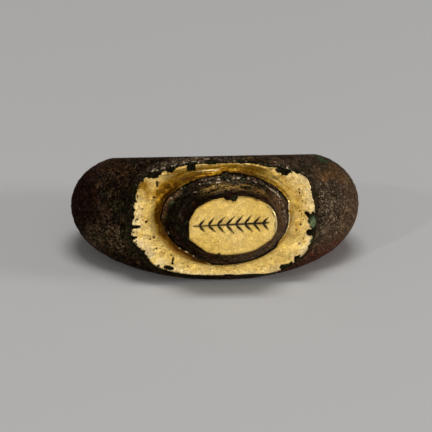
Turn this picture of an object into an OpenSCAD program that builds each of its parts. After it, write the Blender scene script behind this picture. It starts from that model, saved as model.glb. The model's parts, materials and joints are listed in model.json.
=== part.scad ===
// Bronze finger ring with a tall oval bezel, gilded on its flange and on its top.
// It lies on one of its flat sides, with the bezel towards -Y, and the floor is at Z = 0.
// The modules draw it upright: X across the shoulders, Y from the bezel to the back, Z along the finger.

/* [Hoop] */
// Width across the shoulders
ring_width = 30; // [28:0.5:33]
// Diameter of the finger hole
hole_d = 18; // [16:0.5:19]
// Thickness of the hoop at the back
back_thickness = 2.4; // [1.8:0.2:3.4]
// How far in front of the hole's centre the ring is widest
widest_forward = 1.8; // [0:0.2:3]
// Reach of the front curve from the widest line, before the flange cuts it flat
front_reach = 10.9; // [10.5:0.1:12]

/* [Flat sides] */
// Angle of each flat side to the middle plane, so that the hoop narrows to the back
side_angle = 9.6; // [7:0.2:11]
// Half the ring's height, measured at the hole's centre
half_height = 4.8; // [4.6:0.1:5.4]
// Height of the rounded section as a share of the height between the flat sides
section_fullness = 1.04; // [1.02:0.01:1.1]

/* [Flange] */
// Width of the flange
flange_width = 19; // [18:0.2:20]
// Height of the flange
flange_height = 11.8; // [11:0.1:12]
// How square the flange's oval is, where 2 is a true ellipse
flange_squareness = 2.8; // [2:0.1:3.4]
// Distance of the flange's face from the hole's centre
flange_forward = 11.6; // [11.2:0.1:12]
// How far the flange's side slopes out into the shoulders
flange_spread = 0.8; // [0.2:0.1:1]

/* [Boss] */
// Width of the boss's foot, where the gilding of the flange ends
foot_width = 14.2; // [13:0.1:14.6]
// Height of the boss's foot
foot_height = 9.8; // [9:0.1:10.2]
// Width of the flat top
table_width = 9.4; // [8:0.1:10]
// Height of the flat top
table_height = 6.1; // [5:0.1:6.8]
// How square the flat top's oval is, where 2 is a true ellipse
table_squareness = 2.2; // [2:0.1:3]
// Turn of the flat top's long axis
table_turn = 4; // [-6:1:6]
// Distance of the flat top from the flange's face
boss_reach = 4.3; // [3:0.1:4.8]

/* [Gilding] */
// Thickness of the gold sheet
gold_thickness = 0.12; // [0.08:0.01:0.2]
// Gap between the gold and the bronze
gold_gap = 0.02; // [0.01:0.01:0.04]

/* [Hidden] */

bronze = "#4a382d";
gold = "#e0b968";

hoop_steps = 80;
section_steps = 18;
oval_steps = 64;
hole_r = hole_d / 2;
// The loft starts inside the hole, which is bored true afterwards
loft_r = hole_r - 0.7;
back_reach = hole_r + back_thickness + widest_forward;
// The hoop's own front ends a little behind the flange's face
hoop_front = flange_forward - 0.5;
table_forward = flange_forward + boss_reach;
gold_top = gold_gap + gold_thickness;

// The bezel was made by eye, so each oval is a little off the middle: shift across, shift up
flange_shift = [-0.2, 0.15];
foot_shift = [-0.3, 0.25];
table_shift = [0.15, 0.2];

// The flange's side, from inside the hoop to its edge: distance behind the face, share of the spread
flange_side = [
    [3.0, 1.00],
    [1.1, 0.55],
];

// The flange, from its edge (0) to the boss's foot (1): share of the way in, height above the face
flange_curve = [
    [0.00, -0.24],
    [0.02, -0.08],
    [0.07, 0.00],
    [0.45, 0.01],
    [0.65, 0.05],
    [0.82, 0.14],
    [0.93, 0.26],
    [1.00, 0.38],
];

// The boss, from its foot (0) to its flat top (1): share of the way in, share of its reach
boss_curve = [
    [0.03, 0.07],
    [0.08, 0.10],
    [0.22, 0.15],
    [0.38, 0.22],
    [0.54, 0.33],
    [0.69, 0.48],
    [0.81, 0.65],
    [0.91, 0.83],
    [0.98, 0.97],
    [1.00, 1.00],
];

function side_half(y) = half_height - y * tan(side_angle);

// The outline seen along the finger: two half ovals that meet where the ring is widest
function outline(turn) = [
    ring_width / 2 * cos(turn),
    (sin(turn) > 0 ? back_reach : front_reach) * sin(turn) - widest_forward,
];

// One point of the rounded section: share is 0 at the hole's wall and 1 at the outline
function section_point(turn, r, share, side) =
    let (
        edge = outline(turn),
        place = edge * r / norm(edge)
    )
    [place.x, place.y, side * section_fullness * side_half(place.y) * sqrt(1 - share * share)];

function section(turn) =
    let (reach = norm(outline(turn)) - hole_r)
    [
        section_point(turn, loft_r, 0, 1),
        for (i = [1 : section_steps - 1])
            let (around = 90 - 180 * i / section_steps, share = cos(around))
            section_point(turn, hole_r + reach * share, share, around < 0 ? -1 : 1),
        section_point(turn, loft_r, 0, -1),
    ];

function mix(from, to, share) = from + (to - from) * share;

// A sine or cosine drawn out towards the corners of a squarer oval
function squared(value, squareness) = sign(value) * pow(abs(value), 2 / squareness);

// A closed row of points on an oval that stands forward of the hole's centre
function oval(width, height, squareness, forward, shift, turn = 0) = [
    for (i = [0 : oval_steps - 1])
        let (
            a = 360 * i / oval_steps,
            across = width / 2 * squared(cos(a), squareness),
            up = height / 2 * squared(sin(a), squareness)
        )
        [
            across * cos(turn) - up * sin(turn) + shift.x,
            -forward,
            across * sin(turn) + up * cos(turn) + shift.y,
        ]
];

// The flange's row at a share of the way in
function flange_row(share, height) = oval(
    mix(flange_width, foot_width, share),
    mix(flange_height, foot_height, share),
    mix(flange_squareness, 2, share),
    flange_forward + height,
    mix(flange_shift, foot_shift, share)
);

// The boss's row at a share of the way in, drawn in by a trim
function boss_row(share, height, trim = 0) = oval(
    mix(foot_width, table_width, share) - 2 * trim,
    mix(foot_height, table_height, share) - 2 * trim,
    mix(2, table_squareness, share),
    flange_forward + height,
    mix(foot_shift, table_shift, share),
    table_turn * share
);

// Joins rows of points, each row a closed loop, into a solid. A ring-shaped solid has no ends.
module loft(rows, ends = true) {
    count = len(rows[0]);
    last = len(rows) - 1;
    walls = [
        for (k = [0 : ends ? last - 1 : last], i = [0 : count - 1])
            let (next = (i + 1) % count, up = (k + 1) % len(rows))
            [k * count + i, up * count + i, up * count + next, k * count + next]
    ];
    caps = ends ? [
        [for (i = [0 : count - 1]) i],
        [for (i = [count - 1 : -1 : 0]) last * count + i],
    ] : [];
    polyhedron(points = [for (row = rows, point = row) point], faces = concat(walls, caps), convexity = 6);
}

// The rounded hoop, cut flat at the front
module hoop() {
    difference() {
        loft([for (i = [0 : hoop_steps - 1]) section(360 * i / hoop_steps)], ends = false);
        translate([-ring_width, -hoop_front - ring_width, -ring_width])
            cube([2 * ring_width, ring_width, 2 * ring_width]);
    }
}

// The wedge between the two flat sides
module between_sides() {
    front = table_forward + 1;
    back = ring_width / 2;
    rotate([90, 0, 90])
        linear_extrude(ring_width * 1.2, center = true)
            polygon([
                [-front, -side_half(-front)],
                [back, -side_half(back)],
                [back, side_half(back)],
                [-front, side_half(-front)],
            ]);
}

// The flange and the boss, seated in the hoop's front
module head() {
    loft([
        for (point = flange_side)
            oval(
                flange_width + 2 * flange_spread * point[1],
                flange_height + 2 * flange_spread * point[1],
                flange_squareness,
                flange_forward - point[0],
                flange_shift
            ),
        for (point = flange_curve) flange_row(point[0], point[1]),
        for (point = boss_curve) boss_row(point[0], boss_reach * point[1]),
    ]);
}

module ring_body() {
    color(bronze)
        difference() {
            intersection() {
                union() {
                    hoop();
                    head();
                }
                between_sides();
            }
            cylinder(h = ring_width, r = hole_r, center = true, $fn = 96);
        }
}

module flange_gilding() {
    color(gold)
        loft([
            for (point = flange_curve) flange_row(point[0], point[1] + gold_gap),
            for (i = [len(flange_curve) - 1 : -1 : 0])
                flange_row(flange_curve[i][0], flange_curve[i][1] + gold_top),
        ], ends = false);
}

module table_gilding() {
    color(gold)
        loft([
            boss_row(1, boss_reach + gold_gap, trim = 0.06),
            boss_row(1, boss_reach + gold_gap + gold_thickness / 2, trim = 0.03),
            boss_row(1, boss_reach + gold_top, trim = 0.09),
        ]);
}

// Lays the ring on its lower flat side, with the middle of its box over the origin
module lay_down() {
    front_edge = (table_forward + gold_top) * cos(side_angle)
        + (table_height / 2 - table_shift.y) * sin(side_angle);
    back_edge = hole_r * cos(side_angle) + norm([
        back_thickness * cos(side_angle),
        section_fullness * side_half(hole_r + back_thickness) * sin(side_angle),
    ]);
    translate([0, (front_edge - back_edge) / 2, half_height * cos(side_angle)])
        rotate([-side_angle, 0, 0])
            children();
}

lay_down() ring_body();
lay_down() flange_gilding();
lay_down() table_gilding();
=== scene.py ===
import json
import math
import bpy
import bmesh
from mathutils import Matrix, Vector, noise


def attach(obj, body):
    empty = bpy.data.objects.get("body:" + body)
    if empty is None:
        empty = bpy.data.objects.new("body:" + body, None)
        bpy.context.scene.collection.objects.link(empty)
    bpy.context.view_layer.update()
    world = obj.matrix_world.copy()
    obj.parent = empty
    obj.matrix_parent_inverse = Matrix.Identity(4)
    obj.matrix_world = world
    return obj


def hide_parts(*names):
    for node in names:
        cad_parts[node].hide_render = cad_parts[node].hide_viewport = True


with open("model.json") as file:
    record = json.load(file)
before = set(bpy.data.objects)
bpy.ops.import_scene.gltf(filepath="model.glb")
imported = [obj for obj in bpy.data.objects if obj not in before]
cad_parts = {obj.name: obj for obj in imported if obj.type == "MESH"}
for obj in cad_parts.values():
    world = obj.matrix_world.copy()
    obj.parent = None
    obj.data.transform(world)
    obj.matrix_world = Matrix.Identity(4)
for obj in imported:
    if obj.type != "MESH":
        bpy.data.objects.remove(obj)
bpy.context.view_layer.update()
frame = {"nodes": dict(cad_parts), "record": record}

# The finger hole's place and axis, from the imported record, give the ring's own axes.
# Every piece is drawn face-on, in millimetres: u across, v up along the finger,
# w forward from the hole's centre.
hole = frame["record"]["mounts"][0]
leaning = Vector((0, 0, 1)).rotation_difference(Vector(hole["axis"])).to_matrix().to_4x4()
faceOn = (
    Matrix.Translation(hole["pos_m"]) @ leaning
    @ Matrix.Rotation(math.radians(90), 4, "X") @ Matrix.Scale(0.001, 4)
)
toFaceOn = faceOn.inverted()

# The bezel's ovals as the CAD has them: half sizes, squareness (2 is an ellipse) and middle
bezel = {
    "flangeHalf": (9.5, 5.9), "flangeSquareness": 2.8, "flangeMiddle": (-0.2, 0.15), "flangeForward": 11.6,
    "footHalf": (7.1, 4.9), "footMiddle": (-0.3, 0.25),
    "tableHalf": (4.7, 3.05), "tableSquareness": 2.2, "tableMiddle": (0.15, 0.2),
    "tableTurn": math.radians(4),
    "tableForward": 15.9, "goldGap": 0.02, "goldThickness": 0.12,
    # The flange's rise above its face, from its edge (0) to the boss's foot (1)
    "flangeCurve": ((0, -0.24), (0.02, -0.08), (0.07, 0), (0.45, 0.01), (0.65, 0.05), (0.82, 0.14),
                    (0.93, 0.26), (1, 0.38)),
    # corners where the flange reaches a little past its oval: angle, spread (degrees), reach
    "corners": (
        (153, 14, 0.50), (27, 13, 0.46), (312, 20, 0.26), (50, 12, -0.20), (181, 16, 0.13), (191, 9, 0.20),
        (203, 10, -0.31),
    ),
    # where the gilding climbs the boss's foot: angle, spread (degrees), reach
    "climbs": ((352, 22, 0.32), (205, 54, 0.45), (206, 30, 0.38), (126, 38, 0.32)),
    # how high the foot rises above the face there, and within what reach
    "climbHeight": 0.66, "climbReach": 0.45,
    "bossMiddle": (0, 0.2),  # of the boss's turned lines
}


# Camera

view = {
    "back": (-0.1126, -0.93688, 0.33128),  # from the ring to the camera
    "up": (0.01947, 0.33125, 0.94342),
    "aim": (0.311, -1.505),  # mm across and up from the hole's centre to the middle of the picture
    "across": 44.84,  # mm that the picture shows at the hole's centre
    "distance": 1.2,
    "sensor": 36,
}


def addObject(name, data):
    made = bpy.data.objects.new(name, data)
    bpy.context.scene.collection.objects.link(made)
    return made


def makeCamera():
    back, up = Vector(view["back"]).normalized(), Vector(view["up"]).normalized()
    right = up.cross(back).normalized()
    up = back.cross(right)
    aim = Vector(hole["pos_m"]) + (right * view["aim"][0] + up * view["aim"][1]) * 0.001
    data = bpy.data.cameras.new("photoView")
    data.sensor_width = view["sensor"]
    data.lens = view["sensor"] * view["distance"] / (view["across"] * 0.001)
    data.clip_start, data.clip_end = 0.01, 20
    camera = addObject("photoView", data)
    turned = Matrix((right, up, back)).transposed().to_4x4()
    camera.matrix_world = Matrix.Translation(aim + back * view["distance"]) @ turned
    bpy.context.scene.camera = camera


makeCamera()
print("camera made")


# Measuring on the bezel


def rise(low, high, value):
    # a smooth step from 0 at low to 1 at high
    share = min(max((value - low) / (high - low), 0.0), 1.0)
    return share * share * (3 - 2 * share)


def mix(start, end, share):
    return start + (end - start) * share


def arc(angle, middle, spread):
    # 1 at an angle round the bezel, falling to 0 within a spread, in degrees
    away = abs((math.degrees(angle) - middle + 180) % 360 - 180)
    return rise(spread, spread * 0.6, away)


def noiseRound(angle, scale, along):
    # noise that meets itself again after a turn round the bezel
    return noise.noise((math.cos(angle) * scale, math.sin(angle) * scale, along))


def bossAngle(u, v):
    across, up = bezel["bossMiddle"]
    return math.atan2(v - up, u - across)


def awayFrom(u, v, oval):
    # 0 in the middle of an oval and 1 on its line; across, up, half length, half width
    across, up, long, short = oval
    return math.hypot((u - across) / long, (v - up) / short)


def ovalReach(angle, half, squareness):
    across, up = abs(math.cos(angle)) / half[0], abs(math.sin(angle)) / half[1]
    return (across ** squareness + up ** squareness) ** (-1 / squareness)


def inside(u, v, middle, half, squareness, turn=0.0):
    # mm from a point out to the oval's line, less than 0 past it
    du, dv = u - middle[0], v - middle[1]
    return ovalReach(math.atan2(dv, du) - turn, half, squareness) - math.hypot(du, dv)


def cornerReach(angle):
    degrees = math.degrees(angle) % 360
    return sum(reach * rise(spread, 0, abs(degrees - at)) for at, spread, reach in bezel["corners"])


def insideFlange(u, v):
    angle = math.atan2(v - bezel["flangeMiddle"][1], u - bezel["flangeMiddle"][0])
    return cornerReach(angle) + inside(
        u, v, bezel["flangeMiddle"], bezel["flangeHalf"], bezel["flangeSquareness"]
    )


def insideFoot(u, v):
    return inside(u, v, bezel["footMiddle"], bezel["footHalf"], 2)


def climb(angle):
    return sum(reach * arc(angle, at, spread) for at, spread, reach in bezel["climbs"])


def insideTable(u, v):
    return inside(
        u, v, bezel["tableMiddle"], bezel["tableHalf"], bezel["tableSquareness"], bezel["tableTurn"]
    )


def flangeRise(share):
    curve = bezel["flangeCurve"]
    for (start, low), (end, high) in zip(curve, curve[1:]):
        if share <= end:
            return mix(low, high, (share - start) / (end - start))
    return curve[-1][1]


def slopeChange(angle, share):
    # the flange's upper part slopes more evenly than the rest, and its lower part stays flat to the foot
    share = min(share, 1)
    upper = rise(0.45, 0.85, math.sin(angle) - 0.15 * math.cos(angle))
    even = max(0, mix(0, bezel["flangeCurve"][-1][1], (share - 0.22) / 0.78) - flangeRise(share))
    lower = max(rise(-0.1, 0.4, -math.sin(angle)), 0.8 * arc(angle, 10, 32))
    return upper * even - 0.85 * lower * max(0, flangeRise(share))


def flangeAt(angle, share):
    # a point of the flange's face, from its edge (share 0) to the boss's foot (share 1),
    # and on up the foot where the share is past 1
    half = [mix(a, b, share) for a, b in zip(bezel["flangeHalf"], bezel["footHalf"])]
    middle = [mix(a, b, share) for a, b in zip(bezel["flangeMiddle"], bezel["footMiddle"])]
    reach = ovalReach(angle, half, mix(bezel["flangeSquareness"], 2, share))
    reach += cornerReach(angle) * rise(0.7, 0, share)
    height = flangeRise(share) + slopeChange(angle, share)
    if share > 1:
        height = mix(height, bezel["climbHeight"], (share - 1) * flangeWidth(angle) / bezel["climbReach"])
    across, up = reach * math.cos(angle), reach * math.sin(angle)
    return Vector((middle[0] + across, middle[1] + up, bezel["flangeForward"] + height))


def flangeWidth(angle):
    return (flangeAt(angle, 0) - flangeAt(angle, 1)).xy.length


def chipGold(u, v, chips, seed):
    # mm from a point to the nearest chip's rim, less than 0 in the chip
    nearest = 9.0
    for across, up, long, short, turn in chips:
        du, dv = u - across, v - up
        if abs(du) + abs(dv) > long * 2 + 0.6:
            continue
        c, s = math.cos(math.radians(turn)), math.sin(math.radians(turn))
        reach = math.hypot((du * c + dv * s) / long, (dv * c - du * s) / short)
        ragged = 0.34 * noise.noise((u * 2.6, v * 2.6, seed)) + 0.22 * noise.noise((u * 7, v * 7, seed))
        nearest = min(nearest, (reach - 1 + ragged) * short)
    return nearest


# The gold's losses

flangeWear = {
    "smooth": 0.05, "ragged": 0.15, "raggedLeft": 0.36,
    # across, up, half length, half width (mm), turn (degrees)
    "chips": (
        (-7.42, 5.06, 0.74, 0.50, 8), (-5.66, 5.52, 0.60, 0.34, 22), (-3.60, 5.64, 0.48, 0.42, -8),
        (6.00, 5.18, 0.76, 0.54, -12), (7.34, 5.04, 0.36, 0.25, -35), (9.10, -0.16, 0.56, 0.86, 0),
        (8.46, 0.52, 0.36, 0.22, -35), (8.62, -1.40, 0.26, 0.32, 0), (6.02, -4.98, 0.50, 0.30, 20),
        (6.72, -4.80, 0.26, 0.40, -20), (7.42, -4.12, 0.30, 0.42, -30), (-5.95, -4.80, 0.56, 0.22, -10),
        (9.35, -1.30, 0.52, 0.70, 0), (9.30, -2.40, 0.60, 0.62, -20), (8.95, -3.10, 0.46, 0.46, -20),
        (-9.42, -0.50, 0.60, 0.17, 5), (-9.50, -1.62, 0.34, 0.14, 25), (-9.52, 2.24, 0.26, 0.22, 0),
        (-9.60, 1.30, 0.20, 0.16, 0), (-7.13, 4.03, 0.30, 0.075, 88), (0.30, -5.72, 0.50, 0.13, 0),
        (3.10, 6.00, 0.60, 0.14, 0), (-1.30, 6.12, 0.62, 0.24, 4), (9.30, 3.40, 0.16, 0.30, 10),
        (-9.62, 3.05, 0.24, 0.20, 0), (-9.75, 0.55, 0.26, 0.16, 10), (-9.30, -2.60, 0.22, 0.14, 30),
        (-8.10, -4.00, 0.20, 0.14, 50), (9.20, -2.60, 0.22, 0.14, -30), (1.60, 6.02, 0.30, 0.12, 0),
        (-5.50, -3.98, 0.34, 0.075, 80), (4.60, 5.80, 0.30, 0.12, -8),
    ),
    # amber stains on the gold: across, up, radius, strength
    "stains": (
        (-8.60, 3.85, 1.05, 0.60), (-7.9, 4.3, 0.5, 0.34), (-9.0, 2.6, 0.6, 0.30), (7.75, 2.6, 0.6, 0.40),
        (7.4, 1.3, 0.5, 0.42), (-6.6, -3.3, 0.4, 0.30),
    ),
    # dark streaks on the gold: across, up, half length, half width, turn
    "streaks": (
        (3.47, 5.24, 0.30, 0.07, -8), (5.14, 4.42, 0.44, 0.11, -34), (5.72, 3.88, 0.26, 0.09, -42),
        (2.05, 5.72, 0.42, 0.06, -4), (-4.60, 4.60, 0.30, 0.07, 20),
    ),
    # across, up, radius
    "pinholes": (
        (-7.13, 3.24, 0.07), (-7.46, 2.57, 0.10), (-9.17, 0.33, 0.10), (-8.25, 0.06, 0.11),
        (-7.46, -1.60, 0.10), (-7.18, -2.76, 0.08), (-5.54, -4.36, 0.11), (7.62, 0.87, 0.07),
        (7.73, -0.54, 0.08), (8.01, -2.01, 0.06), (7.30, -1.10, 0.05), (7.90, 1.90, 0.06),
        (-8.60, 1.40, 0.06), (-6.80, -3.60, 0.05), (7.55, 3.11, 0.08), (7.63, 2.74, 0.06),
        (7.84, 0.52, 0.06), (7.98, -0.03, 0.05), (7.15, -2.02, 0.05), (7.58, -2.56, 0.07),
        (6.71, -3.60, 0.05),
    ),
}


def flangeGold(u, v):
    # mm from a point of the flange to the nearest rim of its gold, less than 0 where the bronze shows
    edge = insideFlange(u, v)
    broad, close = noise.noise((u * 1.3, v * 1.3, 3)), noise.noise((u * 3.4, v * 3.4, 7))
    fine = noise.noise((u * 8, v * 8, 11))
    worn = mix(flangeWear["ragged"], flangeWear["raggedLeft"], rise(-5, -8.5, u) * rise(-5, -2, v))
    jagged = mix(0.35, 1.1, rise(6, 8.5, abs(u)))
    gold = edge - flangeWear["smooth"] - worn * max(0, 0.5 * broad + 0.9 * close + jagged * fine)
    # pits crowd the left edge
    pit = noise.noise((u * 5.5, v * 5.5, 17)) - mix(0.33, 0.9, rise(0.12, 0.8, edge))
    if u < -6 and pit > -0.1:
        gold = min(gold, -pit * 0.3)
    climbing = climb(math.atan2(v - bezel["footMiddle"][1], u - bezel["footMiddle"][0]))
    gold = min(gold, climbing - insideFoot(u, v) - 0.03 - 0.07 * max(0, close))
    gold = min(gold, chipGold(u, v, flangeWear["chips"], 5))
    for across, up, radius in flangeWear["pinholes"]:
        if abs(u - across) < 0.5 and abs(v - up) < 0.5:
            gold = min(gold, math.hypot(u - across, v - up) - radius)
    return gold


tableWear = {
    "smooth": 0.03, "ragged": 0.06,
    # straight stretches of its outline: the way they face (degrees), distance from the middle
    "cuts": ((180, 4.50), (232, 3.82), (152, 4.22), (304, 3.56)),
    "chips": (
        (-0.30, 3.14, 0.42, 0.28, 0), (0.38, 3.06, 0.36, 0.32, 10), (-1.24, -2.80, 0.18, 0.15, 0),
        (2.66, 2.96, 0.18, 0.12, -20), (-3.6, -2.0, 0.2, 0.08, -40),
    ),
}


def tableGold(u, v):
    edge = insideTable(u, v)
    broad, close = noise.noise((u * 0.9, v * 0.9, 21)), noise.noise((u * 4, v * 4, 23))
    for facing, distance in tableWear["cuts"]:
        a = math.radians(facing)
        du, dv = u - bezel["tableMiddle"][0], v - bezel["tableMiddle"][1]
        edge = min(edge, distance - du * math.cos(a) - dv * math.sin(a))
    gold = edge - tableWear["smooth"] - tableWear["ragged"] * max(0, 0.8 * broad + 0.5 * close)
    return min(gold, chipGold(u, v, tableWear["chips"], 29))


# Thin gold sheets: a fine net of faces, cut away where the gold is lost


def smoothOut(bm, verts, factor):
    bmesh.ops.smooth_vert(
        bm, verts=verts, factor=factor, use_axis_x=True, use_axis_y=True, use_axis_z=True
    )


def keepGold(bm, goldAt):
    lost = [f for f in bm.faces if goldAt(*f.calc_center_median().xy) < 0]
    bmesh.ops.delete(bm, geom=lost, context="FACES")
    while True:
        # a corner that joins two patches by a point only is let go
        pinched = [v for v in bm.verts if sum(e.is_boundary for e in v.link_edges) > 2]
        if not pinched:
            break
        bmesh.ops.delete(bm, geom=list({f for v in pinched for f in v.link_faces}), context="FACES")
    dropLooseParts(bm)
    for v in bm.verts:
        if v.is_boundary:
            for again in range(2):
                drawToRim(v, goldAt)
    rim = [v for v in bm.verts if v.is_boundary]
    smoothOut(bm, rim, 0.35)


def drawToRim(v, goldAt):
    step, furthest = 0.02, 0.05
    here = goldAt(v.co.x, v.co.y)
    slope = Vector((goldAt(v.co.x + step, v.co.y) - here, goldAt(v.co.x, v.co.y + step) - here)) / step
    if slope.length > 0.2:
        move = slope * (-here / slope.length_squared)
        if move.length > furthest:
            move *= furthest / move.length
        v.co.x += move.x
        v.co.y += move.y


def dropLooseParts(bm):
    left = set(bm.faces)
    parts = []
    while left:
        part, edge = set(), [left.pop()]
        while edge:
            face = edge.pop()
            part.add(face)
            for e in face.edges:
                for other in e.link_faces:
                    if other in left:
                        left.remove(other)
                        edge.append(other)
        parts.append(part)
    largest = max(parts, key=len)
    loose = [f for part in parts if part is not largest for f in part]
    bmesh.ops.delete(bm, geom=loose, context="FACES")


def finishPiece(bm, name, node, material):
    # from face-on millimetres to the row frame's metres
    bmesh.ops.transform(bm, matrix=faceOn, verts=bm.verts)
    mesh = bpy.data.meshes.new(name)
    bm.to_mesh(mesh)
    bm.free()
    mesh.shade_smooth()
    mesh.materials.append(material)
    piece = addObject(name, mesh)
    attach(piece, "root")
    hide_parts(node)
    print(name, "made,", len(mesh.polygons), "faces")
    return piece


# Materials


def addNode(tree, kind, values=(), **settings):
    made = tree.nodes.new("ShaderNode" + kind)
    for name, value in settings.items():
        setattr(made, name, value)
    for name, value in dict(values).items():
        if isinstance(value, bpy.types.NodeSocket):
            tree.links.new(value, made.inputs[name])
        else:
            made.inputs[name].default_value = value
    return made


def startMaterial(name):
    material = bpy.data.materials.new(name)
    material.use_nodes = True
    tree = material.node_tree
    tree.nodes.clear()
    shader = addNode(tree, "BsdfPrincipled")
    addNode(tree, "OutputMaterial", {"Surface": shader.outputs[0]})
    where = addNode(tree, "TexCoord").outputs["Object"]
    return material, tree, shader, where


def noiseAt(tree, where, scale, detail=3.0, roughness=0.55, distortion=0.0):
    return addNode(tree, "TexNoise", {
        "Vector": where, "Scale": scale, "Detail": detail, "Roughness": roughness, "Distortion": distortion,
    }).outputs[0]


def cellsAt(tree, where, scale):
    return addNode(tree, "TexVoronoi", {"Vector": where, "Scale": scale}).outputs["Distance"]


def remap(tree, value, low, high, toLow=0.0, toHigh=1.0):
    return addNode(tree, "MapRange", {
        "Value": value, "From Min": low, "From Max": high, "To Min": toLow, "To Max": toHigh,
    }).outputs[0]


def blendColours(tree, share, first, second):
    return addNode(tree, "Mix", {0: share, 6: first, 7: second}, data_type="RGBA").outputs[2]


def calc(tree, operation, first, second):
    return addNode(tree, "Math", {0: first, 1: second}, operation=operation).outputs[0]


def multiply(tree, first, second):
    return calc(tree, "MULTIPLY", first, second)


def bumpUp(tree, height, distance, normal=None):
    values = {"Height": height, "Distance": distance, "Strength": 1.0}
    if normal:
        values["Normal"] = normal
    return addNode(tree, "Bump", values).outputs[0]


def marks(tree, name):
    # a piece's own painted marks, three shares in one attribute
    read = addNode(tree, "Attribute", attribute_name=name)
    return addNode(tree, "SeparateXYZ", {0: read.outputs["Vector"]}).outputs


bronzeLook = {
    "brown": (0.052, 0.031, 0.014, 1), "purple": (0.088, 0.058, 0.038, 1), "warm": (0.190, 0.100, 0.036, 1),
    "red": (0.130, 0.030, 0.016, 1), "olive": (0.036, 0.040, 0.014, 1),
    "verdigris": (0.075, 0.135, 0.055, 1), "crust": (0.42, 0.49, 0.26, 1),
    # the soot colour also paints shade, the rubbed colour worn and lit patches, and the speck colour light
    # specks and glints
    "sootAndShade": (0.0055, 0.003, 0.002, 1), "speck": (0.70, 0.56, 0.37, 1),
    "gilt": (0.95, 0.58, 0.16, 1), "wearAndHighlight": (0.22, 0.150, 0.090, 1),
    "metallic": 0.7, "specular": 0.3, "edgeTint": (0.50, 0.34, 0.20, 1),
    "grainHeight": 0.00007, "creaseHeight": 0.00013, "pitHeight": 0.00005,
}


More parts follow.
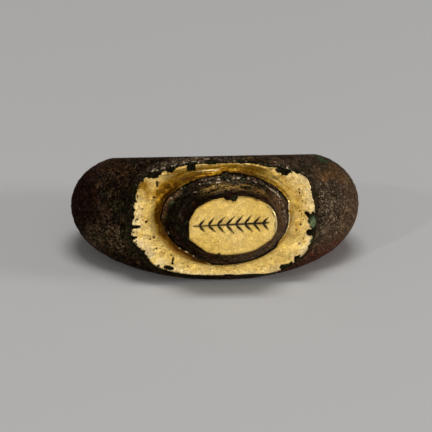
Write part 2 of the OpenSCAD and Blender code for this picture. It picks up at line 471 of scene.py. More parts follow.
def makeBronze():
    material, tree, shader, where = startMaterial("patinatedBronze")
    red, green, sootAndShade = marks(tree, "stainAndShade")
    gilt, wearAndHighlight, plainAndLit = marks(tree, "finishAndLight")
    turned = addNode(tree, "Attribute", attribute_name="turned").outputs["Vector"]
    cavity = addNode(tree, "Attribute", attribute_name="cavity").outputs["Fac"]
    broad = noiseAt(tree, where, 260)
    mottle = noiseAt(tree, where, 1100, 4, 0.6)
    grain = noiseAt(tree, where, 4200, 3, 0.7)
    creases = noiseAt(tree, where, 1900, 2, 0.5, 0.8)
    streaks = noiseAt(tree, turned, 1.0, 3, 0.6)
    # the creases wander where the noise crosses its middle value
    creased = remap(tree, calc(tree, "ABSOLUTE", calc(tree, "SUBTRACT", creases, 0.5), 0), 0.0, 0.06)
    colour = blendColours(tree, remap(tree, broad, 0.38, 0.62), bronzeLook["brown"], bronzeLook["purple"])
    colour = blendColours(tree, multiply(tree, plainAndLit, 0.8), colour, bronzeLook["purple"])
    warmth = multiply(tree, remap(tree, mottle, 0.5, 0.72), remap(tree, streaks, 0.4, 0.6, 0.4, 1.0))
    warmth = multiply(tree, warmth, remap(tree, plainAndLit, 0, 1, 1, 0.35))
    colour = blendColours(tree, warmth, colour, bronzeLook["warm"])
    olive = remap(tree, noiseAt(tree, where, 600, 4, 0.6), 0.50, 0.66, 0, 0.9)
    olive = multiply(tree, olive, remap(tree, calc(tree, "MAXIMUM", plainAndLit, sootAndShade), 0, 1, 1, 0.25))
    colour = blendColours(tree, olive, colour, bronzeLook["olive"])
    reddened = multiply(tree, red, remap(tree, mottle, 0.35, 0.6, 0.3, 1))
    colour = blendColours(tree, reddened, colour, bronzeLook["red"])
    # worn patches with painted light
    worn = calc(tree, "MINIMUM", wearAndHighlight, 1)
    wornAndLitPatches = multiply(tree, worn, remap(tree, mottle, 0.38, 0.55, 0.2, 1))
    colour = blendColours(tree, wornAndLitPatches, colour, bronzeLook["wearAndHighlight"])
    # painted light and shade on the relief: bumps lighter, pits and creases darker, the pits partly with dirt
    shade = calc(
        tree, "MULTIPLY", remap(tree, grain, 0.3, 0.7, 0.5, 1.5), remap(tree, cavity, 0.12, 0.6, 1.7, 0.3)
    )
    shade = multiply(tree, shade, remap(tree, creased, 0, 1, 0.28, 1.30))
    # painted light: the smooth skin on the right is lightened
    shade = calc(tree, "MAXIMUM", shade, multiply(tree, plainAndLit, 0.96))
    colour = addNode(tree, "VectorMath", {0: colour, "Scale": shade}, operation="SCALE").outputs[0]
    # soot and painted shade blacken the colour
    blackenedAndShaded = multiply(tree, sootAndShade, remap(tree, grain, 0.3, 0.65, 1, 0.7))
    colour = blendColours(tree, blackenedAndShaded, colour, bronzeLook["sootAndShade"])
    colour = blendColours(tree, remap(tree, green, 0, 0.5, 0, 0.6), colour, bronzeLook["olive"])
    # the verdigris is pale in its middle
    powder = multiply(tree, remap(tree, green, 0.70, 1.0), remap(tree, grain, 0.38, 0.62, 0.25, 1.0))
    crust = blendColours(tree, powder, bronzeLook["verdigris"], bronzeLook["crust"])
    colour = blendColours(tree, remap(tree, green, 0.45, 0.65), colour, crust)
    colour = blendColours(tree, gilt, colour, bronzeLook["gilt"])
    # light specks, partly painted glints
    speckAndGlintMask = calc(tree, "MAXIMUM", remap(tree, noiseAt(tree, where, 420), 0.50, 0.60, 0, 0.7), worn)
    speck = multiply(tree, remap(tree, cellsAt(tree, where, 2100), 0.22, 0.12), speckAndGlintMask)
    finer = multiply(tree, remap(tree, cellsAt(tree, where, 3300), 0.26, 0.16), plainAndLit)
    speck = calc(tree, "MAXIMUM", speck, multiply(tree, finer, 0.55))
    speck = multiply(tree, speck, remap(tree, sootAndShade, 0.3, 0.9, 1.0, 0.2))
    colour = blendColours(tree, speck, colour, bronzeLook["speck"])
    # painted glints where the share passes 1
    colour = blendColours(tree, remap(tree, wearAndHighlight, 1.0, 1.5), colour, bronzeLook["speck"])
    tree.links.new(colour, shader.inputs["Base Color"])
    dull = multiply(tree, calc(tree, "MAXIMUM", sootAndShade, green), 0.8)
    tree.links.new(
        calc(tree, "MAXIMUM", remap(tree, mottle, 0.3, 0.7, 0.20, 0.52), dull), shader.inputs["Roughness"]
    )
    tree.links.new(remap(tree, wearAndHighlight, 1.0, 1.5, bronzeLook["metallic"], 0.2), shader.inputs["Metallic"])
    shader.inputs["Specular IOR Level"].default_value = bronzeLook["specular"]
    shader.inputs["Specular Tint"].default_value = bronzeLook["edgeTint"]
    pits = bumpUp(tree, cellsAt(tree, where, 2600), bronzeLook["pitHeight"])
    creasedUp = bumpUp(tree, creased, bronzeLook["creaseHeight"], pits)
    tree.links.new(bumpUp(tree, grain, bronzeLook["grainHeight"], creasedUp), shader.inputs["Normal"])
    return material


goldLook = {
    # amber and brown serve for tarnish and painted shade, bright is the colour of painted highlights, dirt
    # also paints shade
    "gold": (0.85, 0.56, 0.135, 1), "pale": (0.92, 0.65, 0.22, 1), "amber": (0.45, 0.222, 0.014, 1),
    "brown": (0.145, 0.054, 0.004, 1), "bright": (1.0, 0.80, 0.44, 1),
    "dirtAndShade": (0.012, 0.007, 0.003, 1), "specular": 0.3, "grainHeight": 0.000013,
    # height of the waves, share of the blotches and lightness on the flange and on the table
    "flange": (0.00003, 0.40, 1.03), "table": (0.000012, 0.16, 0.91),
}


def makeGold(name, waveHeight, blotched, lightness):
    material, tree, shader, where = startMaterial(name)
    dug, tarnishAndShade, paintedHighlight = marks(tree, "wearAndLight")
    broad = noiseAt(tree, where, 420)
    mottle = noiseAt(tree, where, 1700, 4, 0.6)
    grain = noiseAt(tree, where, 6500, 3, 0.65)
    colour = blendColours(tree, remap(tree, broad, 0.35, 0.68), goldLook["gold"], goldLook["pale"])
    stained = multiply(tree, remap(tree, mottle, 0.42, 0.68), blotched)
    # tarnish and painted shade darken the gold to amber, then brown
    patchy = multiply(tree, tarnishAndShade, remap(tree, mottle, 0.3, 0.55, 0.6, 1.05))
    stained = calc(tree, "MAXIMUM", stained, remap(tree, patchy, 0, 0.6))
    colour = blendColours(tree, stained, colour, goldLook["amber"])
    colour = blendColours(tree, remap(tree, patchy, 0.55, 1.0), colour, goldLook["brown"])
    # a fine dapple, as of sand pressed into the gold
    dapple = remap(tree, noiseAt(tree, where, 7200, 2, 0.6), 0.36, 0.64, 0.80 * lightness, 1.14 * lightness)
    coarser = remap(
        tree, noiseAt(tree, where, 3300, 3, 0.6), 0.36, 0.64, 1 - 0.42 * blotched, 1 + 0.26 * blotched
    )
    dapple = multiply(tree, dapple, coarser)
    # painted highlight in the bright colour
    colour = blendColours(tree, paintedHighlight, colour, goldLook["bright"])
    colour = addNode(tree, "VectorMath", {0: colour, "Scale": dapple}, operation="SCALE").outputs[0]
    speck = calc(
        tree, "MULTIPLY", remap(tree, cellsAt(tree, where, 1900), 0.14, 0.07),
        remap(tree, noiseAt(tree, where, 900), 0.56, 0.64)
    )
    finer = calc(
        tree, "MULTIPLY", remap(tree, cellsAt(tree, where, 3300), 0.17, 0.09),
        remap(tree, noiseAt(tree, where, 1300), 0.50, 0.60)
    )
    speck = calc(tree, "MAXIMUM", speck, multiply(tree, finer, 0.7))
    speck = multiply(tree, speck, 1.2 * blotched)
    # dirt, painted shade and dark specks
    colour = blendColours(tree, calc(tree, "MAXIMUM", dug, speck), colour, goldLook["dirtAndShade"])
    tree.links.new(colour, shader.inputs["Base Color"])
    tree.links.new(
        calc(tree, "MAXIMUM", remap(tree, mottle, 0.3, 0.7, 0.26, 0.42), multiply(tree, dug, 0.8)),
        shader.inputs["Roughness"]
    )
    # painted highlights are less metallic
    soft = multiply(tree, remap(tree, dug, 0.2, 0.8, 1.0, 0.1), remap(tree, paintedHighlight, 0.5, 0.9, 1.0, 0.35))
    tree.links.new(soft, shader.inputs["Metallic"])
    shader.inputs["Specular IOR Level"].default_value = goldLook["specular"]
    waves = bumpUp(tree, mottle, waveHeight)
    tree.links.new(bumpUp(tree, grain, goldLook["grainHeight"], waves), shader.inputs["Normal"])
    return material


bronze = makeBronze()
flangeFinish = makeGold("flangeGilding", *goldLook["flange"])
tableFinish = makeGold("tableGilding", *goldLook["table"])
print("materials made")


# Flange gilding

flangeLeaf = {"rows": 36, "steps": 760, "undulation": 0.030, "ridge": 0.018, "lip": 0.06}


def ridges(angle, share):
    # fine lines round the boss's foot, clearest at the top
    top = arc(angle, 98, 70)
    clear = 0.2 + 0.8 * max(top, arc(angle, 208, 42))
    wander = noiseRound(angle, 3, share * 2)
    start = mix(0.78, 0.55, top)
    return clear * rise(start, start + 0.2, share) * math.sin(share * 46 + wander * 4)


def flangeMarks(angle, share, lined, place):
    # shares of dirt with painted shade, of tarnish with painted shade (amber, then brown), and of painted
    # highlight on the lip and outer margin
    top, upperRight = arc(angle, 95, 62), arc(angle, 38, 24)
    left, lowerLeft = arc(angle, 185, 58), arc(angle, 212, 46)
    lowFoot, right = arc(angle, 208, 42), arc(angle, 14, 22)
    dimple = rise(0.42, 0.62, noise.noise(place * 6.5)) * rise(-0.2, 0.3, noise.noise(place * 0.8))
    dimple *= rise(2, -3, place.x)
    streak = 0.5 + 0.9 * noiseRound(angle, 4, share * 15)
    blotch = 0.5 + 0.7 * noise.noise(place * 1.3) + 0.3 * noise.noise(place * 4)
    # tarnish mixed with painted shade: the inner slope darkens towards the foot at the top and left, with
    # painted dark reflections at the upper right and right
    deeper = 0.34 + 0.40 * rise(0.05, 0.45, share) + 0.35 * rise(0.62, 0.98, share)
    tarnishAndShade = top * deeper * (0.6 + 0.6 * streak)
    deeper = 0.12 + 0.90 * rise(0.2, 0.85, share)
    tarnishAndShade = max(tarnishAndShade, arc(angle, 134, 36) * deeper * (0.65 + 0.5 * blotch))
    browner = rise(0.78, 0.92, share)
    deeper = 0.50 + 0.5 * streak + 0.5 * browner
    tarnishAndShade = max(tarnishAndShade, arc(angle, 172, 30) * rise(0.68, 0.84, share) * deeper)
    tarnishAndShade = max(tarnishAndShade, lowerLeft * rise(0.74, 0.88, share) * (0.46 + 0.5 * streak + 0.4 * browner))
    tarnishAndShade = max(tarnishAndShade, 0.55 * upperRight * rise(0.72, 0.88, share))
    tarnishAndShade = max(tarnishAndShade, 0.50 * arc(angle, 16, 40) * blotch)
    tarnishAndShade = max(tarnishAndShade, 0.45 * right * rise(0.84, 0.92, share))
    corner = 0.34 * arc(angle, 153, 15) + 0.15 * arc(angle, 168, 14)
    tarnishAndShade = max(tarnishAndShade, corner * rise(0.8, 0.4, share) * (0.5 + 0.6 * blotch))
    tarnishAndShade = max(tarnishAndShade, 0.22 * rise(0.4, 0.95, share) * blotch)
    sooty = 0
    for across, up, reach, strength in flangeWear["stains"]:
        away = math.hypot(place.x - across, place.y - up) / reach
        stained = strength * rise(1.2, 0.2, away - 0.5 * (blotch - 0.5))
        tarnishAndShade, sooty = max(tarnishAndShade, stained), max(sooty, stained)
    # painted highlight on the inner lip, in short arcs
    lip = max(arc(angle, 0, 17), arc(angle, 217, 7), arc(angle, 234, 8)) * rise(0.94, 0.96, share)
    lip *= rise(-0.45, 0.0, noiseRound(angle, 14, 9))
    # a painted sheen streak at the top
    paintedSheenAt = mix(0.62, 0.50, rise(92, 118, math.degrees(angle)))
    paintedSheen = arc(angle, 107, 15) * rise(0.11, 0.03, abs(share - paintedSheenAt))
    lip = max(lip, 0.8 * paintedSheen * rise(-0.3, 0.2, streak - 0.5))
    # dirt, with painted shade in the grooves between the ridges and a painted dark reflection on the inner
    # slope at the upper right
    dirtAndShade = max(max(0, -lined - 0.5) * 1.3 * max(top, lowFoot), 0.8 * dimple)
    dirtAndShade = max(dirtAndShade, 0.45 * sooty, 0.22 * max(upperRight, right) * rise(0.74, 0.90, share))
    speckled = rise(0.15, 0.45, noise.noise(place * 8)) * rise(0.15, 0.4, share)
    dirtAndShade = max(dirtAndShade, 0.40 * arc(angle, 135, 34) * speckled)
    dirtAndShade = max(dirtAndShade, 0.55 * rise(0.10, -0.05, chipGold(place.x, place.y, flangeWear["streaks"], 5)))
    dirtAndShade = max(
        dirtAndShade, 0.6 * arc(angle, 58, 18) * rise(0.25, 0.5, noise.noise(place * 4.2)) * rise(0.05, 0.2, share)
    )
    # painted highlight: the outer margin is made pale
    pale = 0.42 + 0.20 * arc(angle, 0, 44) + 0.26 * arc(angle, 196, 32)
    pale *= rise(0.60, 0.05, share) * (1 - 0.8 * top) * rise(0.05, 0.6, blotch) * rise(0.6, 0.2, tarnishAndShade)
    # painted highlight on lifted edges at the upper right
    lifted = 0.6 * arc(angle, 68, 15) * rise(0.20, 0.06, share) * rise(-0.1, 0.2, noise.noise(place * 2.4))
    tarnishAndShade = min(tarnishAndShade, 1 + 0.2 * max(left, lowFoot))
    return Vector((dirtAndShade * (1 - lip), tarnishAndShade * (1 - lip) * (1 - lifted), max(lip, pale, lifted)))


def makeFlangeLeaf():
    bm = bmesh.new()
    ends = [bm.verts.new((reach, 0, 0)) for reach in (1, 2)]
    line = bm.edges.new(ends)
    bmesh.ops.subdivide_edges(bm, edges=[line], cuts=flangeLeaf["rows"] - 1)
    bmesh.ops.spin(
        bm, geom=bm.verts[:] + bm.edges[:], axis=(0, 0, 1), cent=(0, 0, 0), angle=math.tau,
        steps=flangeLeaf["steps"], use_merge=True, use_duplicate=False
    )
    marksLayer = bm.verts.layers.float_vector.new("wearAndLight")
    lift = bezel["goldGap"] + bezel["goldThickness"]
    for v in bm.verts:
        # the flat washer is pressed into the oval
        angle, share = math.atan2(v.co.y, v.co.x), min(max(2 - v.co.xy.length, 0), 1)
        place = flangeAt(angle, share * (1 + climb(angle) / flangeWidth(angle)))
        wave = noise.noise(place * 0.9) + 0.5 * noise.noise(place * 2.3)
        lined = ridges(angle, share)
        calm = rise(0, 0.08, share)
        lip = flangeLeaf["lip"] * rise(0.93, 0.985, share)
        raised = wave * flangeLeaf["undulation"] - 0.02 + lined * flangeLeaf["ridge"]
        v.co = place + Vector((0, 0, lift + lip + raised * calm))
        worn = flangeMarks(angle, share, lined, place)
        v.co.z += (0.05 * rise(0.65, 0.8, worn.z) - 0.02 * worn.x) * calm
        v[marksLayer] = worn
    bmesh.ops.recalc_face_normals(bm, faces=bm.faces)
    if sum(f.normal.z for f in bm.faces) < 0:
        bmesh.ops.reverse_faces(bm, faces=bm.faces)
    keepGold(bm, flangeGold)
    piece = finishPiece(bm, "flange_leaf", "flange_gilding", flangeFinish)
    sheet = piece.modifiers.new("sheet", "SOLIDIFY")
    sheet.thickness = bezel["goldThickness"] * 0.001
    sheet.offset = -1


makeFlangeLeaf()


# Table gilding, engraved with a palm branch

tableLeaf = {"columns": 176, "rows": 118, "half": (5.0, 3.4)}
branch = {
    "from": -3.95, "to": 3.9, "up": 0.12, "stem": 0.12, "leaves": 8, "leafLong": 1.04, "leafWide": 0.18,
    "leafLean": 40, "depth": 0.085,
}


def branchStrokes():
    # start, end and the half width at each, in mm from the table's middle
    strokes = [((branch["from"], -0.02), (branch["to"] - 0.5, 0.03), 0.06, branch["stem"])]
    for i in range(branch["leaves"]):
        share = i / (branch["leaves"] - 1)
        root = mix(branch["from"] + 0.55, branch["to"] - 0.75, share)
        long = branch["leafLong"] * (0.82 + 0.3 * math.sin(math.pi * share))
        for side in (-1, 1):
            lean = math.radians(branch["leafLean"] + 4 * side * math.sin(i * 1.7))
            end = (root + long * math.cos(lean) * 0.95, side * long * math.sin(lean) * 1.25)
            strokes.append(((root, 0.02 * side), end, branch["leafWide"], 0.045))
    strokes.append(((branch["to"] - 0.55, 0.03), (branch["to"], 0.06), 0.12, 0.04))
    return strokes


strokes = branchStrokes()


def strokeDepth(u, v):
    # mm inside the nearest stroke, less than 0 outside them all
    deepest = -1.0
    turn = bezel["tableTurn"] * 0.3
    du, dv = u - bezel["tableMiddle"][0], v - bezel["tableMiddle"][1] - branch["up"]
    du, dv = du * math.cos(turn) + dv * math.sin(turn), dv * math.cos(turn) - du * math.sin(turn)
    for (fromU, fromV), (toU, toV), wide, narrow in strokes:
        if not min(fromU, toU) - 0.3 < du < max(fromU, toU) + 0.3:
            continue
        along = ((du - fromU) * (toU - fromU) + (dv - fromV) * (toV - fromV)) / (
            (toU - fromU) ** 2 + (toV - fromV) ** 2)
        along = min(max(along, 0), 1)
        away = math.hypot(du - mix(fromU, toU, along), dv - mix(fromV, toV, along))
        # a leaf is broadest before its middle
        full = math.sin(math.pi * along ** 0.8) if narrow < 0.05 else 1
        deepest = max(deepest, mix(wide, narrow, along) * (0.35 + 0.65 * full) - away)
    return deepest


def makeTableLeaf():
    bm = bmesh.new()
    bmesh.ops.create_grid(bm, x_segments=tableLeaf["columns"], y_segments=tableLeaf["rows"], size=1)
    middle = bezel["tableMiddle"]
    bmesh.ops.scale(bm, vec=(*tableLeaf["half"], 1), verts=bm.verts)
    bmesh.ops.translate(bm, vec=(middle[0], middle[1], 0), verts=bm.verts)
    marksLayer = bm.verts.layers.float_vector.new("wearAndLight")
    keepGold(bm, tableGold)
    top = bezel["tableForward"] + bezel["goldGap"] + bezel["goldThickness"]
    for v in bm.verts:
        inset = max(tableGold(v.co.x, v.co.y), 0)
        cut = strokeDepth(v.co.x, v.co.y)
        ragged = 0.02 * noise.noise((v.co.x * 9, v.co.y * 9, 31))
        dug = rise(-0.02, 0.05, cut + ragged)
        wave = 0.012 * noise.noise((v.co.x * 0.8, v.co.y * 0.8, 33)) - 0.006
        angle = math.atan2(v.co.y - middle[1], v.co.x - middle[0])
        worn = arc(angle, 10, 24)
        edge = 0.035 * (1 - rise(0, 0.11, inset)) + worn * 0.05 * (1 - min(inset / 0.24, 1))
        v.co.z = top + wave - edge - branch["depth"] * min(dug, rise(-0.02, 0.1, cut) + 0.3 * dug)
        groove = worn * rise(0.08, 0.02, abs(inset - 0.26)) * rise(-0.2, 0.1, noise.noise((v.co.y * 2, 3, 5)))
        # painted highlight on the crescent at the right
        wearAndHighlight = 0.5 * worn * rise(0.24, 0.14, inset)
        v[marksLayer] = Vector((max(dug, 0.8 * groove), 0.2 * (1 - rise(0, 0.5, inset)), wearAndHighlight))
    rim = [e for e in bm.edges if e.is_boundary]
    wall = bmesh.ops.extrude_edge_only(bm, edges=rim)["geom"]
    low = [g for g in wall if isinstance(g, bmesh.types.BMVert)]
    for v in low:
        v.co.z = bezel["tableForward"] + bezel["goldGap"]
    under = [g for g in wall if isinstance(g, bmesh.types.BMEdge) and g.is_boundary]
    made = bmesh.ops.edgeloop_fill(bm, edges=under)["faces"]
    bmesh.ops.triangulate(bm, faces=made)
    bmesh.ops.recalc_face_normals(bm, faces=bm.faces)
    finishPiece(bm, "table_leaf", "table_gilding", tableFinish)


makeTableLeaf()


# Cast body: a copy of the CAD solid, made even, then worked like the corroded casting

casting = {
    "grain": 0.10,  # size of the net's faces
    "faces": 96000,  # faces left after it is thinned
    "dents": 0.08, "creases": 0.15, "pits": 0.10,
}
drift = Vector((7.3, 3.1, 1.7))  # sets one noise apart from another of the same size


def asShown(piece):
    # a piece's mesh with its modifiers applied
    shown = piece.evaluated_get(bpy.context.evaluated_depsgraph_get())
    return bpy.data.meshes.new_from_object(shown)


def evenCopy():
    mesh = frame["nodes"]["ring_body"].data.copy()
    bm = bmesh.new()
    bm.from_mesh(mesh)
    bmesh.ops.remove_doubles(bm, verts=bm.verts, dist=2e-6)
    bmesh.ops.transform(bm, matrix=toFaceOn, verts=bm.verts)
    bm.to_mesh(mesh)
    bm.free()
    raw = addObject("raw", mesh)
    even = raw.modifiers.new("even", "REMESH")
    even.mode = "VOXEL"
    even.voxel_size = casting["grain"]
    made = asShown(raw)
    bpy.data.objects.remove(raw)
    bm = bmesh.new()
    bm.from_mesh(made)
    bpy.data.meshes.remove(made)
    for again in range(3):
        smoothOut(bm, bm.verts, 0.5)
    return bm


def reshaped(place):
    # the flange's corners drawn out and its slopes evened, as on the gold
    u, v, w = place
    if w < 9:
        return place
    edge = inside(u, v, bezel["flangeMiddle"], bezel["flangeHalf"], bezel["flangeSquareness"])
    foot = insideFoot(u, v)
    share = min(max(edge / (edge - foot), 0), 1) if foot < 0 < edge else rise(-0.01, 0.01, foot)
    angle = math.atan2(v - bezel["flangeMiddle"][1], u - bezel["flangeMiddle"][0])
    out = cornerReach(angle) * rise(0.7, 0, share) * rise(9.2, 11.0, w) * rise(-1.8, -0.3, edge)
    up = 0
    if edge > -0.05 and w > bezel["flangeForward"] - 0.3:
        up = slopeChange(angle, share) * rise(0.4, 0, foot)
    return place + Vector((out * math.cos(angle), out * math.sin(angle), up))


def corrosion(place, normal):
    # how deep the surface is eaten away at a point, in mm, and a share that is 0 on a bump and 1 in a pit
    u, v, w = place
    if w > bezel["flangeForward"] - 0.4 and insideFlange(u, v) > -0.15:
        if w > bezel["tableForward"] - 0.2 and insideTable(u, v) > -0.1:
            bare = rise(0.05, -0.15, tableGold(u, v))
            return 0.03 + bare * 0.1 * (0.7 + noise.noise(place * 5)), 0.5
        if insideFoot(u, v) < 0.02 and w < bezel["flangeForward"] + 0.55:
            bare = rise(0.03, -0.12, flangeGold(u, v))
            lumps = 0.5 + 0.9 * noise.noise(place * 3.4) + 0.4 * noise.noise(place * 8)
            return 0.03 + bare * (0.03 + 0.13 * lumps), 0.3 + 0.7 * min(max(lumps, 0), 1)
        return bossCorrosion(place)
    return skinCorrosion(place, normal)


def bossCorrosion(place):
    # fine rings left by turning, and pits
    angle = bossAngle(place.x, place.y)
    height = place.z - bezel["flangeForward"]
    wavy = height + 0.22 * noise.noise(place * 0.9) + 0.06 * noise.noise(place * 2.6)
    rings = noiseRound(angle, 2.2, wavy * 5) + 0.6 * noiseRound(angle, 5, wavy * 11 + 4)
    lumps = noise.noise(place * 1.7 + drift) + 0.6 * noise.noise(place * 3.3)
    pits = max(0, noise.noise(place * 2.8) - 0.1)
    fine = noise.noise(place * 6)
    depth = 0.05 + 0.035 * rings + 0.045 * lumps + 0.10 * pits + 0.02 * fine
    return depth, 0.45 + 0.4 * rings + 0.35 * lumps + 0.6 * pits + 0.25 * fine


def skinCorrosion(place, normal):
    # crumpled skin of the casting: wandering creases between low grains
    inHole = rise(9.35, 9.05, math.hypot(place.x, place.z))
    wander = Vector((
        noise.noise(place * 0.9), noise.noise(place * 0.9 + drift), noise.noise(place * 0.9 - drift),
    ))
    skin = (place + wander * 0.5) * 1.7
    crease = max(0, 1 - 3.2 * abs(noise.noise(skin))) * 0.55
    crease += max(0, 1 - 2.8 * abs(noise.noise(skin * 2.1))) * 0.45
    fine = noise.noise(place * 6.5)
    broad = noise.noise(place * 0.55) + 0.5 * noise.noise(place * 1.3)
    worn = rise(-3, 6, place.z)
    left = rise(3, -4, place.x)
    rough = (0.30 + 0.25 * worn + 0.55 * left * worn) * (1 - 0.85 * inHole)
    rough *= 1 - 0.55 * rise(0.80, 0.97, abs(normal.y))
    pit = max(0, noise.noise(place * 1.9 + drift) - 0.2)
    depth = (
        casting["dents"] * (0.5 + 0.4 * broad) + casting["creases"] * crease
        + casting["pits"] * pit * 1.6 + 0.03 * fine
    )
    return max(depth, 0) * rough, 0.08 + 0.75 * crease * mix(0.6, 1, left) + 0.6 * pit + 0.35 * fine


# patches of verdigris: across, up, half length, half width
patina = {
    "crust": (9.04, -0.36, 0.56, 0.94),  # by the flange's notch
    "run": (8.85, -2.10, 0.34, 0.80),  # below it
    "shoulder": (11.0, 5.2, 1.1, 0.5),  # on the right shoulder's upper edge
}


def stainAt(place):
    # shares of red, green, and soot with painted shade at a point, then of gilding left in lines, of wear
    # with painted highlight, and of smooth skin with painted light
    u, v, w = place
    wander = noise.noise(place * 0.7) + 0.5 * noise.noise(place * 1.9)
    red = 0.15 * rise(0.15, 0.5, noise.noise(place * 0.22 + drift))
    red += 0.8 * rise(11.6, 14.4, -u + 1.2 * wander) * rise(-2.5, 1.5, v)
    red += 0.35 * rise(8, 10.5, -u + wander) * rise(3.0, 5.0, v + 0.5 * wander)
    red += 0.3 * rise(11.5, 14.5, u + 1.6 * wander) + 0.8 * rise(-2.2, -4.6, v + wander) * rise(3, 10, u)
    # an orange-brown band under the upper edge of the right shoulder
    band = rise(9.0, 10.4, u) * rise(0.9, 0.3, abs(v - 4.1 + 0.28 * (u - 10.5) + 0.5 * wander))
    band *= rise(3, 5, w)
    green = sootAndShade = wearAndHighlight = plainAndLit = 0.0
    gilt = 0.12 * band
    red += 0.5 * band
    edge, foot = insideFlange(u, v), insideFoot(u, v)
    if w > 11.0 and edge > -0.15:
        if foot > 0.05:
            red, green, sootAndShade, gilt, wearAndHighlight = bossStain(place, wander)
            # painted light on the boss's right side
            plainAndLit = rise(1.5, 4.0, u - 0.5 * v) * (1 - gilt)
        else:
            sootAndShade, green, red = 0.4, 0.2 + 0.3 * rise(0.1, 0.5, noise.noise(place * 2.2)), 0
            # painted highlight along the flange's upper rim
            wearAndHighlight = 0.5 * rise(3.2, 4.6, v) * rise(0.5, 0.1, edge)
    else:
        # painted shade in the step beside the flange, darkest on the left
        near = rise(-1.5, -0.2, edge) * rise(8.6, 10.4, w)
        upper = rise(3.2, 4.6, v)
        sootAndShade = near * mix(0.35, 0.9, rise(2, -4, u)) * (1 - 0.9 * upper)
        green = near * 0.42 * rise(-0.3, 0.3, noise.noise(place * 1.1)) * (1 - 0.6 * upper)
        # painted highlight on the rim above the flange's upper edge
        beside = max(rise(-9.0, -7.8, u) * rise(1.0, -1.5, u), rise(4.4, 5.4, u) * rise(8.2, 7.2, u))
        wearAndHighlight = near * upper * beside * rise(-0.5, 0.1, noise.noise(place * 2.4))
        # painted shade on the left shoulder, darkest at its far edge, lifted along its upper edge
        sootAndShade = max(sootAndShade, 0.50 * rise(-4, -9, u + wander), 0.95 * rise(-11.2, -13.8, u))
        sootAndShade *= 1 - 0.7 * rise(3.6, 5.0, v + 0.4 * wander) * rise(-6, -7.5, u) * rise(-13.5, -12.0, u)
        # painted light on the right shoulder and on the strip above the flange
        plainAndLit = max(
            rise(6.0, 9.5, u) * rise(-4, 2, w) * (1 - near) * 0.9,
            0.6 * near * upper * rise(2.5, 0.5, u),
        )
        # painted light low on the right
        wearAndHighlight = max(
            wearAndHighlight,
            0.40 * rise(0.5, -1.5, v) * rise(-3.4, -2.0, v) * rise(7, 9, u) * rise(-2, 2, w),
            0.40 * rise(11.5, 13.5, u) * rise(-4, 0, w) * rise(4.5, 3.0, v) * rise(-3.0, -1.5, v),
        )
        # painted glints on bumps low on the left shoulder, with less painted shade there
        low = (
            rise(-9.4, -10.4, u) * rise(-14.2, -13.2, u) * rise(-0.3, -1.2, v) * rise(-4.2, -3.0, v)
            * rise(2, 4, w)
        )
        wearAndHighlight = max(wearAndHighlight, 0.7 * low * rise(0.0, 0.3, noise.noise(place * 3.1)))
        sootAndShade *= 1 - 0.8 * low
    if w > 10.2:
        # the chips are black inside
        chipped = rise(0.10, -0.02, chipGold(u, v, flangeWear["chips"], 5)) * rise(-0.4, -0.1, edge)
        sootAndShade, wearAndHighlight = max(sootAndShade, 0.85 * chipped), wearAndHighlight * (1 - chipped)
        green = max(green, 0.25 * chipped * rise(-0.1, 0.4, noise.noise(place * 2.2)))
        if v > 4.8:
            wearAndHighlight = max(wearAndHighlight, 2.0 * rimGlint(place, edge))
            sootAndShade *= 1 - min(wearAndHighlight, 1)
    if w > 9.5:
        # the verdigris by the flange's notch, and its run below
        blob = rise(1.15, 0.25, awayFrom(u, v, patina["crust"]) + 0.2 * wander)
        run = rise(1.2, 0.4, awayFrom(u, v, patina["run"]) + 0.4 * wander)
        crust = max(blob, 0.8 * run)
        green, sootAndShade, wearAndHighlight = max(green, crust), sootAndShade * (1 - crust), wearAndHighlight * (1 - crust)
    elif u > 9:
        # green on the right shoulder's upper edge
        spot = awayFrom(u, v, patina["shoulder"])
        green = max(green, 0.72 * rise(1.2, 0.5, spot + 0.5 * wander) * rise(3, 5, w))
    return min(red, 1), min(green, 1), min(max(sootAndShade, 0), 1), min(gilt, 1), wearAndHighlight, min(plainAndLit, 1)


boss = {
    # green spots: across, up, radius
    "spots": (
        (-6.0, 2.0, 0.45), (-5.2, -0.4, 0.3), (6.2, 2.5, 0.55), (-6.3, 0.6, 0.25), (-4.6, 3.2, 0.3),
        (1.6, 4.2, 0.4),
    ),
    # bright glints: across, up, half length, half width
    "glints": (
        (-1.72, 4.12, 0.20, 0.09), (-0.98, 4.15, 0.32, 0.06), (-0.86, 4.42, 0.17, 0.10),
        (-2.75, 4.00, 0.16, 0.07), (1.22, 4.52, 0.24, 0.10), (-3.42, 3.30, 0.30, 0.05),
        (3.0, 4.08, 0.12, 0.06), (0.2, 4.30, 0.14, 0.05), (-6.05, -1.03, 0.08, 0.19),
        (-5.69, 2.55, 0.08, 0.16), (-4.66, 3.53, 0.15, 0.10),
    ),
    # brown rubbed patches on its left side, in the same terms
    "rubs": (
        (-5.69, 2.50, 0.18, 0.40), (-4.95, 2.85, 0.60, 0.14), (-5.05, 0.95, 0.30, 0.24),
        (-5.30, -2.10, 0.40, 0.20), (-6.15, -0.85, 0.22, 0.40), (-4.66, 3.53, 0.26, 0.18),
        (-6.30, 1.55, 0.12, 0.26),
    ),
}


def within(u, v, ovals):
    # how deep a point is in the nearest of some ovals, 0 to 1
    return rise(1.25, 0.5, min(awayFrom(u, v, oval) for oval in ovals))


def rimGlint(place, edge):
    # a ragged row of glints along the flange's upper rim, where the gold is chipped
    u, v, w = place
    rows = rise(-8.4, -7.8, u) * rise(-2.2, -3.0, u) + rise(5.2, 5.6, u) * rise(7.2, 6.8, u)
    along = rise(0.19, 0.06, abs(edge + 0.10 - 0.12 * noise.noise((u * 1.7, 5, 2)))) * rise(4.6, 4.9, v)
    return rows * along * rise(0.02, 0.24, noise.noise(place * 4.1))


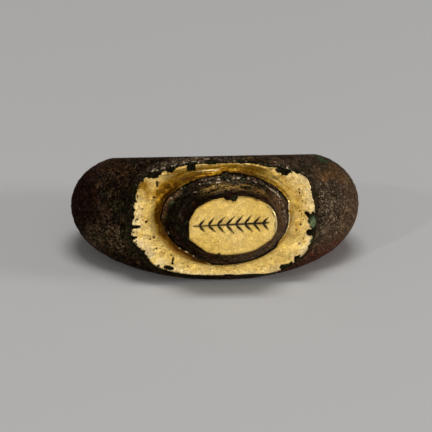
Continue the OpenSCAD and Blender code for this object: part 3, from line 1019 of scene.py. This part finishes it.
def bossStain(place, wander):
    u, v, w = place
    height = w - bezel["flangeForward"]
    angle = bossAngle(u, v)
    upper, left = rise(0.35, 0.85, math.sin(angle)), rise(0.2, -0.8, math.cos(angle))
    wavy = height + 0.15 * noise.noise(place * 1.1)
    lines = noiseRound(angle, 3.2, wavy * 9 + 2)
    # gilding is left in the turned lines of the upper side, and round the foot on the left
    gilt = rise(-0.1, 0.2, lines) * upper * rise(1.1, 1.6, wavy) * rise(2.9, 2.3, wavy) * rise(-3.4, -1.8, u)
    amber = rise(0.98, 0.60, height + 0.08 * wander) * arc(angle, 190, 52)
    gilt = max(gilt, amber * (0.03 + 0.16 * rise(0.0, 0.3, lines)))
    # painted shade on the boss's left side, less on its top
    sootAndShade = rise(-0.5, -4.2, u + 1.2 * wander) * (1 - 0.4 * rise(2.5, 4, v))
    sootAndShade *= 0.88 + 0.8 * noise.noise(place * 1.8)
    # painted shade: the neck under the table is made black
    sootAndShade = max(sootAndShade, 0.9 * rise(3.0, 3.7, wavy) * (0.55 + 0.45 * rise(2, -2, u)))
    sootAndShade *= (1 - gilt) * (1 - 0.55 * amber)
    # painted light: glints and a light line on the upper side, and the right and lower side lightened
    wearAndHighlight = upper * rise(0.45, 0.7, wavy) * rise(1.3, 1.0, wavy)
    wearAndHighlight *= rise(0.05, 0.35, noise.noise(place * 1.6) + 0.25)
    wearAndHighlight = max(wearAndHighlight, 0.7 * upper * rise(0.25, 0.12, abs(wavy - 3.0)) * rise(1, -1, u))
    wearAndHighlight = max(wearAndHighlight, 0.4 * upper * rise(-0.3, 0.3, noise.noise(place * 3)) * (1 - sootAndShade))
    wearAndHighlight = max(wearAndHighlight, 0.5 * rise(1, 3, u - 0.9 * v) * rise(3.4, 2.8, wavy))
    # a painted highlight line on the ridge round the foot, at the right
    lined = arc(angle, 31, 12) * rise(0.09, 0.03, abs(height - 0.66))
    brown = 0.45 * within(u + 0.2 * wander, v, boss["rubs"])
    wearAndHighlight = max(wearAndHighlight * (1 - sootAndShade), brown, 2.2 * lined, 2.2 * within(u, v, boss["glints"]))
    sootAndShade = sootAndShade * (1 - brown) * (1 - lined)
    green = 0.6 * rise(0.1, 0.4, noise.noise(place * 1.2)) * rise(0.0, 0.3, noise.noise(place * 3))
    for across, up, reach in boss["spots"]:
        green = max(green, 0.48 * rise(1.2, 0.5, math.hypot(u - across, v - up) / reach + 0.3 * wander))
    red = max(0.7 * rise(0.0, 0.4, noise.noise(place * 0.9 - drift)), amber)
    return red, green, sootAndShade, gilt * (1 - lined), wearAndHighlight * (1 - 0.7 * green)


def makeBody():
    bm = evenCopy()
    bm.normal_update()
    cavity = bm.verts.layers.float.new("cavity")
    moves = []
    for v in bm.verts:
        place = reshaped(v.co)
        depth, eaten = corrosion(place, v.normal)
        v[cavity] = eaten
        moves.append(place - v.normal * depth)
    for v, place in zip(bm.verts, moves):
        v.co = place
    print("body worked,", len(bm.faces), "faces")
    piece = finishPiece(bm, "cast_body", "ring_body", bronze)
    thin = piece.modifiers.new("thin", "DECIMATE")
    thin.ratio = casting["faces"] / len(piece.data.polygons)
    made = asShown(piece)
    piece.modifiers.clear()
    piece.data = made
    names = ("stainAndShade", "finishAndLight", "turned")
    for name in names:
        made.attributes.new(name, "FLOAT_VECTOR", "POINT")
    # fetched when all are there, because each new one moves the rest
    stainAndShade, finishAndLight, turned = (made.attributes[name].data for name in names)
    for v in made.vertices:
        place = toFaceOn @ v.co
        red, green, sootAndShade, gilt, wearAndHighlight, plainAndLit = stainAt(place)
        stainAndShade[v.index].vector = (red, green, sootAndShade)
        finishAndLight[v.index].vector = (gilt, wearAndHighlight, plainAndLit)
        turned[v.index].vector = place * 2.2
        if place.z > bezel["flangeForward"] and insideFoot(place.x, place.y) > 0:
            angle = bossAngle(place.x, place.y)
            wavy = place.z + 0.15 * noise.noise(place * 1.1)
            turned[v.index].vector = (math.cos(angle) * 4, math.sin(angle) * 4, wavy * 7)
    made.shade_smooth()
    print("body thinned to", len(made.polygons), "faces")


makeBody()


# Floor and light

studio = {
    "floor": (0.84, 0.83, 0.81, 1), "floorRoughness": 0.9, "floorReach": 3.0,
    "world": (1.0, 1.0, 1.0, 1), "worldStrength": 0.08,
    "aim": (0, 0, 0.006),  # where the lamps point
    # name, azimuth, elevation, distance (m), width, height (m), brightness
    "lamps": (
        ("key", 66, 16, 0.7, 0.16, 0.16, 15),
        ("front", 3, 4, 0.9, 0.85, 0.125, 2.75),
        ("left", -62, 14, 0.8, 0.10, 0.08, 4),
        ("soft", -4, 42, 0.9, 0.80, 0.45, 0.30),
        ("glint", -40, 26, 0.9, 0.04, 0.04, 120),
        ("top", 10, 84, 0.8, 0.40, 0.40, 4.0),
    ),
}


def makeStudio():
    bm = bmesh.new()
    bmesh.ops.create_circle(bm, cap_ends=True, segments=96, radius=studio["floorReach"])
    mesh = bpy.data.meshes.new("floor")
    bm.to_mesh(mesh)
    bm.free()
    floor = addObject("floor", mesh)
    material = bpy.data.materials.new("paleFloor")
    material.use_nodes = True
    shader = material.node_tree.nodes["Principled BSDF"]
    shader.inputs["Base Color"].default_value = studio["floor"]
    shader.inputs["Roughness"].default_value = studio["floorRoughness"]
    mesh.materials.append(material)
    world = bpy.data.worlds.new("studio")
    bpy.context.scene.world = world
    world.use_nodes = True
    background = world.node_tree.nodes["Background"]
    background.inputs["Color"].default_value = studio["world"]
    background.inputs["Strength"].default_value = studio["worldStrength"]
    for name, azimuth, elevation, distance, width, height, brightness in studio["lamps"]:
        a, e = math.radians(azimuth), math.radians(elevation)
        back = Vector((math.sin(a) * math.cos(e), -math.cos(a) * math.cos(e), math.sin(e)))
        lamp = bpy.data.lights.new(name, "AREA")
        lamp.shape = "RECTANGLE"
        lamp.size, lamp.size_y = width, height
        lamp.energy = brightness * math.pi * width * height
        place = Vector(studio["aim"]) + back * distance
        facing = back.to_track_quat("Z", "Y").to_matrix().to_4x4()
        addObject(name, lamp).matrix_world = Matrix.Translation(place) @ facing
    print("floor and lamps made")


makeStudio()
bpy.context.scene.view_settings.view_transform = "Standard"
